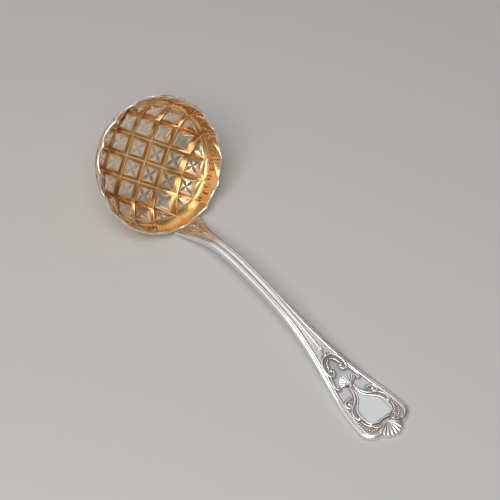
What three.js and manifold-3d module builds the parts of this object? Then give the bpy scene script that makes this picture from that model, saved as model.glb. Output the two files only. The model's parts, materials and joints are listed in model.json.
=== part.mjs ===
// Sugar sifter spoon: a round pierced bowl hard-soldered to a struck handle.
// Millimetres, +Z up. The spoon lies on a table, on the back of its bowl and the end of its
// handle, with the handle along +X. The origin is the bottom centre of its box.

import * as THREE from 'three';
import { mergeVertices } from 'three/addons/utils/BufferGeometryUtils.js';
import Module from 'manifold-3d';

const wasm = await Module();
wasm.setup();

// Bowl
const rimRadius = 31;
const ringRadius = 27.1;
const wallHeight = 8.6;
const domeSag = 7.4;
const domePower = 5;
const latticePitch = 9.9;
const panDepth = 1.3;
const slopeWidth = 1.9;
const sheet = 0.8;
const channelWidth = 0.9;
const channelDepth = 0.5;
const fluteDepth = 0.7;
const scallopDrop = 0.8;
const bowlTilt = THREE.MathUtils.degToRad(54.8);

// Piercing of the bowl
const petalLength = 4;
const petalWidth = 1.6;
const petalNeck = 0.5;
const loosePetalLength = 2.3;
const loosePetalWidth = 1.3;
const slotLength = 3.6;
const slotWidth = 0.8;
const hookLength = 2.8;
const hookCurl = 1.4;
const hookWidth = 0.75;
const hookOffset = 3;
const slotHeightShare = 0.43;
const hookHeightShare = 0.32;

// Handle
const heelLength = 5.4;
const heelHalfWidth = 7.5;
const flareRun = 32;
const stemHalfWidth = 3.15;
const swellRun = 57;
const endHalfWidth = 12.5;
const riseRun = 41;
const crestHeight = 14.7;
const fallRun = 83;
const flatRun = 16.6;
const tongueThickness = 0.9;
const heelThickness = 2.2;
const stemThickness = 3.6;
const endThickness = 2.4;
const bluntHalfWidth = 4.4;
const cornerRun = 5.6;
const heelBlendRun = 12;
const threadBorder = 1.9;
const threadDepth = 0.3;
const fieldDepth = 0.35;
const fieldSetback = 45.5;
const fieldStepRun = 2;

// Ornament on the handle's end
const shellRadius = 7.6;
const shellHeight = 1.1;
const shellOverhang = 3;
const smallShellRadius = 5.2;
const smallShellHeight = 0.9;
const smallShellSetback = 27;
const cartoucheSetback = 24.8;
const cartoucheLength = 18;
const cartoucheHalfWidth = 6.9;
const cartoucheRise = 0.35;
const frameWidth = 0.9;
const frameRise = 0.65;
const scrollHalfWidth = 0.6;
const scrollHeight = 0.75;

// Joint between bowl and handle
const seatGap = 0.3;
const seamLeg = 0.8;

// Two points this near are one point: first in a sheet, then in bodies that are joined.
const nearby = 1e-4;
const nearbyJoined = 1e-2;

// Counts
const fluteCount = 16;
const stepsPerFlute = 6;
const petalSteps = 4;
const slotSteps = 3;
const heelSteps = 6;
const flareSteps = 8;
const stemSteps = 8;
const endSteps = 26;
const cornerSteps = 5;
const shellFlutes = 9;
const stepsPerShellFlute = 4;
const shellRings = 4;
const cartoucheSteps = 10;
const scrollSteps = 16;
const seamSteps = 16;

const fluteAngle = (2 * Math.PI) / fluteCount;
const handleTurn = fluteCount / 8;
const plainFlutes = [handleTurn - 1, handleTurn];
const lerp = THREE.MathUtils.lerp;

// A closed mesh from points and faces. A face is a list of point numbers that runs
// anticlockwise as seen from outside.
function closedMesh(points, faces) {
  const geometry = new THREE.BufferGeometry().setFromPoints(points);
  const numbers = [];
  for (const face of faces) {
    for (let k = 1; k < face.length - 1; k++) {
      const corner = [face[0], face[k], face[k + 1]];
      if (new Set(corner).size === 3) numbers.push(...corner);
    }
  }
  geometry.setIndex(numbers);
  return geometry;
}

// A sheet with a top and a bottom surface over the same faces. Its open edges are closed.
class Sheet {
  constructor() {
    this.top = [];
    this.bottom = [];
    this.faces = [];
    this.numbers = new Map();
  }

  point(top, bottom) {
    const key = top.toArray().map((value) => Math.round(value / nearby)).join();
    if (!this.numbers.has(key)) {
      this.numbers.set(key, this.top.length);
      this.top.push(top);
      this.bottom.push(bottom);
    }
    return this.numbers.get(key);
  }

  face(...numbers) {
    for (let k = 1; k < numbers.length - 1; k++) {
      const corner = [numbers[0], numbers[k], numbers[k + 1]];
      if (new Set(corner).size === 3) this.faces.push(corner);
    }
  }

  // A face with holes, drawn flat. Each of its points is put on the sheet by place.
  piercedFace(outline, holes, place) {
    const corners = THREE.ShapeUtils.triangulateShape(outline, holes);
    const spots = [outline, ...holes].flat();
    const numbers = spots.map(place);
    for (const [a, b, c] of corners) {
      const leftTurn = spots[b].clone().sub(spots[a]).cross(spots[c].clone().sub(spots[a])) > 0;
      const order = leftTurn ? [a, b, c] : [a, c, b];
      this.face(...order.map((k) => numbers[k]));
    }
  }

  mesh() {
    const count = this.top.length;
    const edges = new Set();
    for (const [a, b, c] of this.faces) [[a, b], [b, c], [c, a]].forEach((edge) => edges.add(edge.join()));
    const faces = [...this.faces];
    for (const [a, b, c] of this.faces) faces.push([c + count, b + count, a + count]);
    for (const edge of edges) {
      const [a, b] = edge.split(',').map(Number);
      if (!edges.has([b, a].join())) faces.push([b, a, a + count, b + count]);
    }
    return closedMesh([...this.top, ...this.bottom], faces);
  }
}

// A closed body through rings of points, with flat ends.
function loft(rings) {
  const size = rings[0].length;
  const faces = [];
  for (let i = 0; i < rings.length - 1; i++) {
    for (let j = 0; j < size; j++) {
      const next = (j + 1) % size;
      faces.push([i * size + j, (i + 1) * size + j, (i + 1) * size + next, i * size + next]);
    }
  }
  const first = [...Array(size).keys()];
  faces.push(first, first.map((j) => j + (rings.length - 1) * size).reverse());
  return closedMesh(rings.flat(), faces);
}

function toSolid(geometry) {
  const bare = geometry.clone();
  bare.deleteAttribute('normal');
  bare.deleteAttribute('uv');
  const merged = mergeVertices(bare);
  return new wasm.Manifold(new wasm.Mesh({
    numProp: 3,
    vertProperties: merged.attributes.position.array,
    triVerts: Uint32Array.from(merged.index.array),
  }));
}

function toGeometry(solid) {
  const mesh = solid.getMesh();
  const geometry = new THREE.BufferGeometry();
  geometry.setAttribute('position', new THREE.BufferAttribute(mesh.vertProperties, 3));
  geometry.setIndex(new THREE.BufferAttribute(mesh.triVerts, 1));
  geometry.computeVertexNormals();
  return geometry;
}

// The bowl, in the axes of its lattice. The handle leaves it between the two, at 45 degrees.

// The floor is flat in the middle and climbs ever more steeply to a ring. Its lattice lines are
// one pitch apart and end on the ring.
function floorPoint(x, y) {
  const share = (Math.hypot(x, y) / ringRadius) ** domePower;
  return new THREE.Vector3(x, y, -wallHeight - domeSag * (1 - share));
}

function turned(corner, quarters) {
  const angle = (quarters * Math.PI) / 2;
  return new THREE.Vector2(...corner).rotateAround(new THREE.Vector2(), angle).multiplyScalar(latticePitch);
}

// Places in pitches: where the lattice lines no, one and two pitches off centre meet the ring.
const farShare = ringRadius / latticePitch;
const nearShare = Math.sqrt(farShare ** 2 - 1);
const slantShare = farShare / Math.sqrt(2);
const ringShares = [[farShare, 0], [nearShare, 1], [slantShare, slantShare], [1, nearShare]];
const ringNodes = [0, 1, 2, 3].flatMap((quarter) => ringShares.map((corner) => turned(corner, quarter)));

// The cells of one quarter of the floor. Side ringSide of a cell runs along the ring.
const cellShares = [
  { corners: [[0, 0], [1, 0], [1, 1], [0, 1]] },
  { corners: [[1, 0], [2, 0], [2, 1], [1, 1]] },
  { corners: [[0, 1], [1, 1], [1, 2], [0, 2]] },
  { corners: [[1, 1], [2, 1], [2, 2], [1, 2]] },
  {
    corners: [[2, 0], [farShare, 0], [nearShare, 1], [2, 1]],
    slope: 0.32, pan: 0.7, petal: [0.66, 0.95], ringSide: 1,
  },
  {
    corners: [[0, 2], [1, 2], [1, nearShare], [0, farShare]],
    slope: 0.32, pan: 0.7, petal: [0.95, 0.66], ringSide: 2,
  },
  {
    corners: [[2, 1], [nearShare, 1], [slantShare, slantShare]],
    slope: 0.2, pan: 0.4, ringSide: 1, loose: true,
  },
  {
    corners: [[1, 2], [slantShare, slantShare], [1, nearShare]],
    slope: 0.2, pan: 0.4, ringSide: 1, loose: true,
  },
];

// The corners of a cell's flat middle, a slope's width inside its sides.
function inset(corners, width) {
  return corners.map((corner, k) => {
    const before = corners[(k + corners.length - 1) % corners.length];
    const after = corners[(k + 1) % corners.length];
    const sides = [corner.clone().sub(before), after.clone().sub(corner)];
    const [first, second] = sides.map((side) => new THREE.Vector2(-side.y, side.x).normalize());
    const reach = width / (1 + first.dot(second));
    return corner.clone().addScaledVector(first.add(second), reach);
  });
}

// A shape's outline as points round a centre, squeezed by a share each way before it is turned.
function pointsOf(shape, steps, centre, angle = 0, [acrossShare, upShare] = [1, 1]) {
  return shape.getPoints(steps).map(({ x, y }) => {
    const squeezed = new THREE.Vector2(x * acrossShare, y * upShare);
    return squeezed.rotateAround(new THREE.Vector2(), angle).add(centre);
  });
}

// Four pointed petals that point to the corners of their cell and meet at its centre.
function quatrefoil() {
  const shape = new THREE.Shape();
  const neck = petalNeck / 2;
  for (let k = 0; k < 4; k++) {
    const angle = (k - 0.5) * (Math.PI / 2);
    const outline = [
      [neck, -neck], [petalLength * 0.42, -petalWidth * 0.9], [petalLength, 0],
      [petalLength * 0.42, petalWidth * 0.9], [neck, neck],
    ];
    const [start, first, tip, second, end] = outline.map(
      ([along, across]) => new THREE.Vector2(along, across).rotateAround(new THREE.Vector2(), angle),
    );
    if (k === 0) shape.moveTo(start.x, start.y);
    shape.quadraticCurveTo(first.x, first.y, tip.x, tip.y);
    shape.quadraticCurveTo(second.x, second.y, end.x, end.y);
  }
  return shape;
}

function loosePetal() {
  const shape = new THREE.Shape();
  const half = loosePetalLength / 2;
  shape.moveTo(-half, 0);
  shape.quadraticCurveTo(0, -loosePetalWidth, half, 0);
  shape.quadraticCurveTo(0, loosePetalWidth, -half, 0);
  return shape;
}

// One cell: slopes that fall from the lattice lines to a flat middle, which is pierced.
function addCell(bowl, quarter, { corners, slope = 1, pan = 1, petal, ringSide, loose }) {
  const sides = corners.map((corner) => turned(corner, quarter));
  const sum = sides.reduce((total, corner) => total.add(corner), new THREE.Vector2());
  const middle = sum.divideScalar(sides.length);
  const add = (place, depth) => {
    const top = floorPoint(place.x, place.y);
    top.z -= depth;
    return bowl.point(top, top.clone().setZ(top.z - sheet));
  };
  const flat = inset(sides, slopeWidth * slope);
  const flatNumbers = flat.map((place) => add(place, panDepth * pan));
  sides.forEach((corner, k) => {
    const after = sides[(k + 1) % sides.length];
    const steps = k === ringSide ? stepsPerFlute : 1;
    const edge = [...Array(steps + 1).keys()].map((j) => add(corner.clone().lerp(after, j / steps), 0));
    bowl.face(flatNumbers[k], ...edge, flatNumbers[(k + 1) % sides.length]);
  });
  const turn = (quarter * Math.PI) / 2;
  const hole = loose
    ? pointsOf(loosePetal(), petalSteps, middle, turn + Math.PI / 4)
    : pointsOf(quatrefoil(), petalSteps, middle, turn, petal);
  bowl.piercedFace(flat, [hole], (place) => add(place, panDepth * pan));
}

// How far a place across a flute is from the ridges beside it: none on them, one in the middle.
function archAt(across) {
  return 4 * across * (1 - across);
}

// A place on the wall. Turn counts flutes round the axis, and share runs from the foot to the rim.
function wallPoint(turn, share) {
  const flute = Math.floor(turn);
  const across = turn - flute;
  const arch = archAt(across);
  const ring = ringNodes[flute % fluteCount].clone().lerp(ringNodes[(flute + 1) % fluteCount], across);
  const foot = floorPoint(ring.x, ring.y);
  foot.x *= 1 + channelWidth / ring.length();
  foot.y *= 1 + channelWidth / ring.length();
  foot.z -= channelDepth * arch;
  const rimReach = rimRadius - fluteDepth * (1 - arch);
  const rim = new THREE.Vector3(rimReach, 0, -scallopDrop * arch);
  rim.applyAxisAngle(new THREE.Vector3(0, 0, 1), turn * fluteAngle);
  const inside = foot.clone().lerp(rim, share);
  const lean = Math.atan2(rimReach - Math.hypot(foot.x, foot.y), wallHeight);
  const outward = new THREE.Vector3(inside.x, inside.y, 0).normalize();
  const side = share > 0 ? Math.cos(lean) : (1 - Math.sin(lean)) / Math.cos(lean);
  const drop = share > 0 ? Math.sin(lean) : 1;
  const outside = inside.clone().addScaledVector(outward, sheet * side);
  outside.z -= sheet * drop;
  return { ring, inside, outside };
}

function slot() {
  const shape = new THREE.Shape();
  const half = slotWidth / 2;
  const reach = slotLength / 2 - half;
  shape.absarc(0, reach, half, 0, Math.PI);
  shape.absarc(0, -reach, half, Math.PI, 2 * Math.PI);
  return shape;
}

// A straight stroke that curls away from the slot at its upper end.
function hook() {
  const half = hookWidth / 2;
  const turn = hookCurl / 2;
  const low = -hookLength / 2;
  const high = hookLength / 2 - turn;
  const shape = new THREE.Shape();
  shape.moveTo(-half, low);
  shape.lineTo(half, low);
  shape.lineTo(half, high);
  shape.absarc(turn, high, turn - half, Math.PI, 0, true);
  shape.lineTo(hookCurl + half, high);
  shape.absarc(turn, high, turn + half, 0, Math.PI, false);
  return shape;
}

// One flute of the wall, with a slot between two hooks. The flutes beside the handle are plain.
function addFlute(bowl, flute) {
  const width = (fluteAngle * (ringRadius + rimRadius)) / 2;
  const add = (turn, share) => {
    const { inside, outside } = wallPoint(turn, share);
    return bowl.point(inside, outside);
  };
  const columns = [...Array(stepsPerFlute + 1).keys()].map((j) => {
    const turn = flute + j / stepsPerFlute;
    const { ring } = wallPoint(turn, 0);
    const ridge = floorPoint(ring.x, ring.y);
    const crest = bowl.point(ridge, ridge.clone().setZ(ridge.z - sheet));
    return { turn, crest, foot: add(turn, 0), rim: add(turn, 1) };
  });
  for (let j = 0; j < stepsPerFlute; j++) {
    const [here, next] = [columns[j], columns[j + 1]];
    bowl.face(here.crest, here.foot, next.foot, next.crest);
    if (plainFlutes.includes(flute)) bowl.face(here.foot, here.rim, next.rim, next.foot);
  }
  if (plainFlutes.includes(flute)) return;
  const foot = (share) => -channelDepth * archAt(share);
  const rim = (share) => wallHeight - scallopDrop * archAt(share);
  const shares = columns.map(({ turn }) => turn - flute);
  const outline = [
    ...shares.map((share) => new THREE.Vector2(width * share, foot(share))),
    ...[...shares].reverse().map((share) => new THREE.Vector2(width * share, rim(share))),
  ];
  const hookPlace = new THREE.Vector2(hookOffset, hookHeightShare * wallHeight);
  const hookPoints = pointsOf(hook(), slotSteps, hookPlace);
  const holes = [
    pointsOf(slot(), slotSteps, new THREE.Vector2(0, slotHeightShare * wallHeight)),
    hookPoints,
    hookPoints.map(({ x, y }) => new THREE.Vector2(-x, y)),
  ];
  const middled = holes.map((hole) => hole.map(({ x, y }) => new THREE.Vector2(x + width / 2, y)));
  bowl.piercedFace(outline, middled, ({ x, y }) => {
    const share = x / width;
    return add(flute + 1 - share, (y - foot(share)) / (rim(share) - foot(share)));
  });
}

function bowlMesh() {
  const bowl = new Sheet();
  for (let quarter = 0; quarter < 4; quarter++) {
    for (const cell of cellShares) addCell(bowl, quarter, cell);
  }
  for (let flute = 0; flute < fluteCount; flute++) addFlute(bowl, flute);
  return bowl.mesh();
}

// The handle leaves the bowl at one flute line, between the axes of the lattice. The bowl tilts
// towards it until the bowl's back and the handle's end lie on the table.
const bowlTurn = new THREE.Matrix4().makeRotationY(bowlTilt);
bowlTurn.multiply(new THREE.Matrix4().makeRotationZ(-Math.PI / 4));
const bowlGeometry = bowlMesh();
bowlGeometry.computeVertexNormals();
const turnedBowl = bowlGeometry.clone().applyMatrix4(bowlTurn);
turnedBowl.computeBoundingBox();
const bowlLift = -turnedBowl.boundingBox.min.z;
const bowlSeat = new THREE.Matrix4().makeTranslation(0, 0, bowlLift).multiply(bowlTurn);

// The handle's side view. Its heel climbs the outside of the wall along one flute line, and
// above the rim the stem arches over to the flat end.
const wallOutside = (turn, share) => wallPoint(turn, share).outside.applyMatrix4(bowlSeat);
const rimSeat = wallOutside(handleTurn, 1);
const halfWay = wallOutside(handleTurn, 0.5);
const climb = rimSeat.clone().sub(halfWay).normalize();
const wallLength = 2 * rimSeat.distanceTo(halfWay);
const facing = new THREE.Vector3(-climb.z, 0, climb.x);
const rise = rimSeat.clone().addScaledVector(facing, -seatGap);
const crest = new THREE.Vector3(rise.x + riseRun, 0, crestHeight);
const flatStart = new THREE.Vector3(crest.x + fallRun, 0, endThickness);
const flatEnd = new THREE.Vector3(flatStart.x + flatRun, 0, endThickness);
const ahead = new THREE.Vector3(1, 0, 0);
const sidePath = new THREE.CurvePath();
sidePath.add(new THREE.CubicBezierCurve3(
  rise, rise.clone().addScaledVector(climb, riseRun * 0.12),
  crest.clone().addScaledVector(ahead, -riseRun * 0.6), crest,
));
sidePath.add(new THREE.CubicBezierCurve3(
  crest, crest.clone().addScaledVector(ahead, fallRun * 0.55),
  flatStart.clone().addScaledVector(ahead, -fallRun * 0.28), flatStart,
));
sidePath.add(new THREE.LineCurve3(flatStart, flatEnd));
const pathLength = sidePath.getLength();
const handleLength = heelLength + pathLength;

// How far the wall's outside falls back from the middle flute line, at a distance across it.
function wallSag(across, share) {
  let low = handleTurn;
  let high = handleTurn + fluteCount / 4;
  for (let k = 0; k < 24; k++) {
    const middle = (low + high) / 2;
    if (Math.abs(wallOutside(middle, share).y) < Math.abs(across)) low = middle;
    else high = middle;
  }
  return wallOutside(low, share).sub(wallOutside(handleTurn, share)).dot(facing);
}

// A place on the side view and its direction there, past both ends of the path too.
function sideView(beyond) {
  if (beyond <= 0) return { middle: rise.clone().addScaledVector(climb, beyond), tangent: climb };
  if (beyond >= pathLength) {
    return { middle: flatEnd.clone().addScaledVector(ahead, beyond - pathLength), tangent: ahead };
  }
  const share = beyond / pathLength;
  return { middle: sidePath.getPoint(share), tangent: sidePath.getTangent(share) };
}

// A place on the handle: its distance along from the heel's tip, across, and above the top face.
function onHandle(along, across, above) {
  const beyond = along - heelLength;
  const { middle, tangent } = sideView(beyond);
  const normal = new THREE.Vector3(-tangent.z, 0, tangent.x);
  const wallShare = 1 + Math.min(beyond, 0) / wallLength;
  const hold = 1 - THREE.MathUtils.smoothstep(beyond, 0, heelBlendRun);
  const sag = hold > 0 ? wallSag(across, wallShare) * hold : 0;
  return middle.addScaledVector(normal, above + sag).setY(across);
}

// The handle's outline: distance along, and half its width there.
function outline() {
  const swellStart = heelLength + swellRun;
  const cornerStart = handleLength - cornerRun;
  const swell = cornerStart - swellStart;
  const spread = heelHalfWidth - stemHalfWidth;
  const at = (along, half) => new THREE.Vector2(along, half);
  const heel = new THREE.EllipseCurve(
    heelLength, 0, heelLength, heelHalfWidth, Math.PI * 0.92, Math.PI / 2, true,
  );
  const flare = new THREE.CubicBezierCurve(
    at(heelLength, heelHalfWidth), at(heelLength + flareRun * 0.3, stemHalfWidth + spread * 0.28),
    at(heelLength + flareRun * 0.55, stemHalfWidth), at(heelLength + flareRun, stemHalfWidth),
  );
  const stem = new THREE.LineCurve(at(heelLength + flareRun, stemHalfWidth), at(swellStart, stemHalfWidth));
  const end = new THREE.CubicBezierCurve(
    at(swellStart, stemHalfWidth), at(swellStart + swell * 0.6, stemHalfWidth),
    at(swellStart + swell * 0.75, endHalfWidth), at(cornerStart, endHalfWidth),
  );
  const corner = new THREE.EllipseCurve(
    cornerStart, bluntHalfWidth, cornerRun, endHalfWidth - bluntHalfWidth, Math.PI / 2, 0, true,
  );
  const stretches = [
    [heel, heelSteps], [flare, flareSteps], [stem, stemSteps], [end, endSteps], [corner, cornerSteps],
  ];
  return stretches.flatMap(([curve, steps], k) => curve.getPoints(steps).slice(k === 0 ? 0 : 1));
}

function thicknessAt(along) {
  const beyond = along - heelLength;
  if (beyond < 0) return lerp(tongueThickness, heelThickness, along / heelLength);
  const full = lerp(heelThickness, stemThickness, THREE.MathUtils.smoothstep(beyond, 0, heelBlendRun));
  const thin = THREE.MathUtils.smoothstep(beyond, swellRun, pathLength - flatRun);
  return lerp(full, endThickness, thin);
}

// One half of the handle's section, from the middle of its top to the middle of its back:
// a field, two grooves with a thread beside each, and a rounded side.
function halfSection(along, half) {
  const beyond = along - heelLength;
  const thick = thicknessAt(along);
  const border = Math.min(threadBorder, half * 0.6);
  const groove = threadDepth * THREE.MathUtils.smoothstep(beyond, 0, heelBlendRun);
  const inField = beyond - (pathLength - fieldSetback);
  const field = fieldDepth * THREE.MathUtils.smoothstep(inField, 0, fieldStepRun);
  return [
    [0, -field], [half - border, -field], [half - border * 0.82, -groove], [half - border * 0.66, 0],
    [half - border * 0.5, -groove], [half - border * 0.34, 0], [half - border * 0.12, -thick * 0.12],
    [half, -thick * 0.45], [half - border * 0.06, -thick * 0.8], [half - border * 0.4, -thick],
    [0, -thick],
  ];
}

function handleBlank() {
  const rings = outline().map(({ x: along, y: half }) => {
    const right = halfSection(along, half);
    const left = right.slice(1, -1).reverse().map(([across, above]) => [-across, above]);
    return [...right, ...left].map(([across, above]) => onHandle(along, across, above));
  });
  return toSolid(loft(rings));
}

// A scallop shell: a fan of rounded flutes with a notched edge, bedded in the handle's field.
function scallop(hinge, radius, height, spread, bed) {
  const shell = new Sheet();
  const columns = shellFlutes * stepsPerShellFlute;
  const grid = [];
  for (let i = 0; i <= shellRings; i++) {
    const ringShare = i / shellRings;
    grid.push([...Array(columns + 1).keys()].map((j) => {
      const crown = Math.abs(Math.sin((Math.PI * j) / stepsPerShellFlute));
      const angle = lerp(-spread, spread, j / columns);
      const reach = radius * ringShare * (1 - 0.08 * ringShare * (1 - crown));
      const along = hinge + reach * Math.cos(angle);
      const across = reach * Math.sin(angle);
      const above = height * (1 - 0.75 * ringShare ** 2) * (0.6 + 0.4 * crown * ringShare);
      return shell.point(onHandle(along, across, above - fieldDepth), onHandle(along, across, -bed));
    }));
  }
  for (let i = 0; i < shellRings; i++) {
    for (let j = 0; j < columns; j++) {
      shell.face(grid[i][j], grid[i + 1][j], grid[i + 1][j + 1], grid[i][j + 1]);
    }
  }
  return toSolid(shell.mesh());
}

// A vacant cartouche: a bell-shaped plate with a raised frame, its point towards the bowl.
function cartouche() {
  const start = handleLength - cartoucheSetback;
  const at = (share, halfShare) => (
    new THREE.Vector2(start + cartoucheLength * share, cartoucheHalfWidth * halfShare)
  );
  const side = new THREE.CubicBezierCurve(at(0, 0.08), at(0.4, 0.08), at(0.36, 1), at(0.68, 1));
  const foot = new THREE.CubicBezierCurve(at(0.68, 1), at(0.88, 1), at(0.97, 0.98), at(1, 0.74));
  const stations = [...side.getPoints(cartoucheSteps), ...foot.getPoints(cartoucheSteps).slice(1)];
  const plate = new Sheet();
  const rows = stations.map(({ x: along, y: half }) => {
    const frame = Math.min(frameWidth, half * 0.9);
    const places = [[-half, 0], [frame * 0.4 - half, frameRise], [frame - half, cartoucheRise]];
    const mirrored = places.map(([across, above]) => [-across, above]).reverse();
    return [...places, ...mirrored].map(([across, above]) => plate.point(
      onHandle(along, across, above - fieldDepth),
      onHandle(along, across, -endThickness / 2),
    ));
  });
  for (let i = 0; i < rows.length - 1; i++) {
    for (let j = 0; j < rows[i].length - 1; j++) {
      plate.face(rows[i][j], rows[i + 1][j], rows[i + 1][j + 1], rows[i][j + 1]);
    }
  }
  return toSolid(plate.mesh());
}

// The scrolls of one side: places back from the handle's end and out from its middle line, in
// half widths of the end.
const archShares = [
  [3.52, 0.03], [3.46, 0.21], [3.28, 0.34], [3.04, 0.4],
  [2.82, 0.37], [2.77, 0.24], [2.88, 0.16], [2.99, 0.23],
];
const armShares = [[2.13, 0.08], [1.92, 0.11], [1.72, 0.19], [1.55, 0.35], [1.43, 0.57], [1.28, 0.75]];
const voluteShares = [
  [1.74, 0.3], [1.78, 0.43], [1.73, 0.61], [1.58, 0.66], [1.48, 0.61], [1.54, 0.5], [1.65, 0.5],
];

// A scroll: a rounded bead that swells in the middle of its run, bedded in the handle's field.
const beadShares = [[-1, -1], [-1, 0], [-0.6, 0.8], [0, 1], [0.6, 0.8], [1, 0], [1, -1]];
function scroll(placeShares, side) {
  const path = new THREE.CatmullRomCurve3(placeShares.map(([back, out]) => (
    new THREE.Vector3(handleLength - endHalfWidth * back, endHalfWidth * out * side, 0)
  )));
  const rings = [...Array(scrollSteps + 1).keys()].map((k) => {
    const share = k / scrollSteps;
    const { x: along, y: across } = path.getPointAt(share);
    const { x: ahead, y: aside } = path.getTangentAt(share);
    const swell = 0.6 + 0.4 * Math.sin(Math.PI * share);
    return beadShares.map(([wide, tall]) => {
      const out = scrollHalfWidth * swell * wide;
      const above = scrollHeight * (tall > 0 ? swell * tall : tall) - fieldDepth;
      return onHandle(along - aside * out, across + ahead * out, above);
    });
  });
  return toSolid(loft(rings));
}

function handle() {
  const endHinge = handleLength + shellOverhang - shellRadius;
  const smallHinge = handleLength - smallShellSetback;
  const ornament = [
    scallop(endHinge, shellRadius, shellHeight, Math.PI * 0.42, endThickness * 0.8),
    scallop(smallHinge, -smallShellRadius, smallShellHeight, Math.PI * 0.26, endThickness / 2),
    cartouche(),
  ];
  for (const placeShares of [archShares, armShares, voluteShares]) {
    for (const side of [-1, 1]) ornament.push(scroll(placeShares, side));
  }
  const joined = ornament.reduce((solid, piece) => solid.add(piece), handleBlank());
  return toGeometry(joined.simplify(nearbyJoined));
}

// A bead of hard solder in the corner between the heel's edge and the wall.
function solderSeam() {
  const rings = [...Array(seamSteps + 1).keys()].map((k) => {
    const angle = lerp(-0.44, 0.44, k / seamSteps) * Math.PI;
    const place = (offset, above) => onHandle(
      heelLength - (heelLength + offset) * Math.cos(angle),
      (heelHalfWidth + offset) * Math.sin(angle),
      above,
    );
    return [place(seatGap, 0), place(seatGap + seamLeg, 0), place(seatGap, -seamLeg)];
  });
  return toGeometry(toSolid(loft(rings)));
}

const silver = new THREE.MeshStandardMaterial({ color: 0xd9d9d6, roughness: 0.22, metalness: 1 });
const gilt = new THREE.MeshStandardMaterial({ color: 0xd79a45, roughness: 0.26, metalness: 1 });
const solder = new THREE.MeshStandardMaterial({ color: 0xcfcabd, roughness: 0.4, metalness: 1 });

function named(name, geometry, material) {
  const mesh = new THREE.Mesh(geometry, material);
  mesh.name = name;
  return mesh;
}

const bowl = named('bowl', bowlGeometry, gilt);
bowl.rotation.z = -Math.PI / 4;
const tiltedBowl = new THREE.Group();
tiltedBowl.rotation.y = bowlTilt;
tiltedBowl.position.z = bowlLift;
tiltedBowl.add(bowl);

const spoon = new THREE.Group();
spoon.add(tiltedBowl, named('handle', handle(), silver), named('solder_seam', solderSeam(), solder));
const box = new THREE.Box3().setFromObject(spoon, true);
spoon.position.set(-(box.min.x + box.max.x) / 2, -(box.min.y + box.max.y) / 2, -box.min.z);

const sifter = new THREE.Group();
sifter.add(spoon);
export default sifter;
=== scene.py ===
import bisect
import json
import math

import bmesh
import bpy
from mathutils import Matrix, Vector

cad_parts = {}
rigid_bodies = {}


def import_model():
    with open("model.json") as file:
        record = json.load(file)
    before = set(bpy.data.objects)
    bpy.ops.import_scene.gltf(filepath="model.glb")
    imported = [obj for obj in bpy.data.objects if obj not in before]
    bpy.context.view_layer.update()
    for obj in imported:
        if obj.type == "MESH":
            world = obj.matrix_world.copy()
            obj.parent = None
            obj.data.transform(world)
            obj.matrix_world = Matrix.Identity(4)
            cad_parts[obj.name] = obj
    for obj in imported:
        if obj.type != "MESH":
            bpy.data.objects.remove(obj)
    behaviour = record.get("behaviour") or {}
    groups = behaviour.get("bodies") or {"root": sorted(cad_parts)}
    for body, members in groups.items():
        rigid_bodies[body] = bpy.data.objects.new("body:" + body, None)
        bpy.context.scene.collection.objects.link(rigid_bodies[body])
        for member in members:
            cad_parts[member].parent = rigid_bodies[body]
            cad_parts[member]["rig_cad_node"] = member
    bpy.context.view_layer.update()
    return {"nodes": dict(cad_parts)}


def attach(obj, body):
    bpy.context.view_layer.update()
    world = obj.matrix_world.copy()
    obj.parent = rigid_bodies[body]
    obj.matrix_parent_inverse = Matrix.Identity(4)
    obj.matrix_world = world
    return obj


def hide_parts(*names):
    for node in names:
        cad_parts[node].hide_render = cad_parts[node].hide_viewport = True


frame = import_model()
scene = bpy.context.scene


# Camera. It looks down on the spoon from beside the handle, from far off, so that the bowl is
# nearly round and the handle runs to the lower right.
camera_target = Vector((-0.02203, 0.0140, 0.00095))
camera_direction = Vector((0.4762, -0.3881, 0.7891))
camera_distance = 0.8
camera_lens_mm = 126.55

camera_data = bpy.data.cameras.new("camera")
camera_data.sensor_width = 36
camera_data.lens = camera_lens_mm
camera = bpy.data.objects.new("camera", camera_data)
scene.collection.objects.link(camera)
camera.location = camera_target + camera_direction * camera_distance
camera.rotation_euler = (-camera_direction).to_track_quat("-Z", "Y").to_euler()
scene.camera = camera


# Studio. A pale table, a dim room and four large softboxes. Polished metal shows the boxes as
# bright bands and the room between them as grey ones. Only the top box and the room light the
# table: the other three boxes are mirrored in the metal alone, so that the holes stay in shade.
table_size = 4.0
table_colour = (0.80, 0.79, 0.77, 1)
table_roughness = 0.9
table_gloss = 0.1
room_colour = (0.64, 0.625, 0.61, 1)
room_strength = 0.26

bpy.ops.object.select_all(action="DESELECT")
bpy.ops.mesh.primitive_plane_add(size=table_size, location=(0, 0, 0))
table = bpy.context.object
table.name = "table"
table_material = bpy.data.materials.new("table_paper")
table_material.use_nodes = True
table_shader = table_material.node_tree.nodes["Principled BSDF"]
table_shader.inputs["Base Color"].default_value = table_colour
table_shader.inputs["Roughness"].default_value = table_roughness
table_shader.inputs["Specular IOR Level"].default_value = table_gloss
table.data.materials.append(table_material)

scene.view_settings.view_transform = "Standard"
scene.world = bpy.data.worlds.new("room")
scene.world.use_nodes = True
room = scene.world.node_tree.nodes["Background"]
room.inputs["Color"].default_value = room_colour
room.inputs["Strength"].default_value = room_strength


def softbox(name, place, aim, width, height, power, on_table=True):
    """A rectangular lamp. One that isn't on the table is only mirrored in metal."""
    light = bpy.data.lights.new(name, "AREA")
    light.shape = "RECTANGLE"
    light.size = width
    light.size_y = height
    light.energy = power
    lamp = bpy.data.objects.new(name, light)
    scene.collection.objects.link(lamp)
    lamp.location = place
    lamp.rotation_euler = (Vector(aim) - Vector(place)).to_track_quat("-Z", "Y").to_euler()
    lamp.visible_diffuse = on_table


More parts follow.
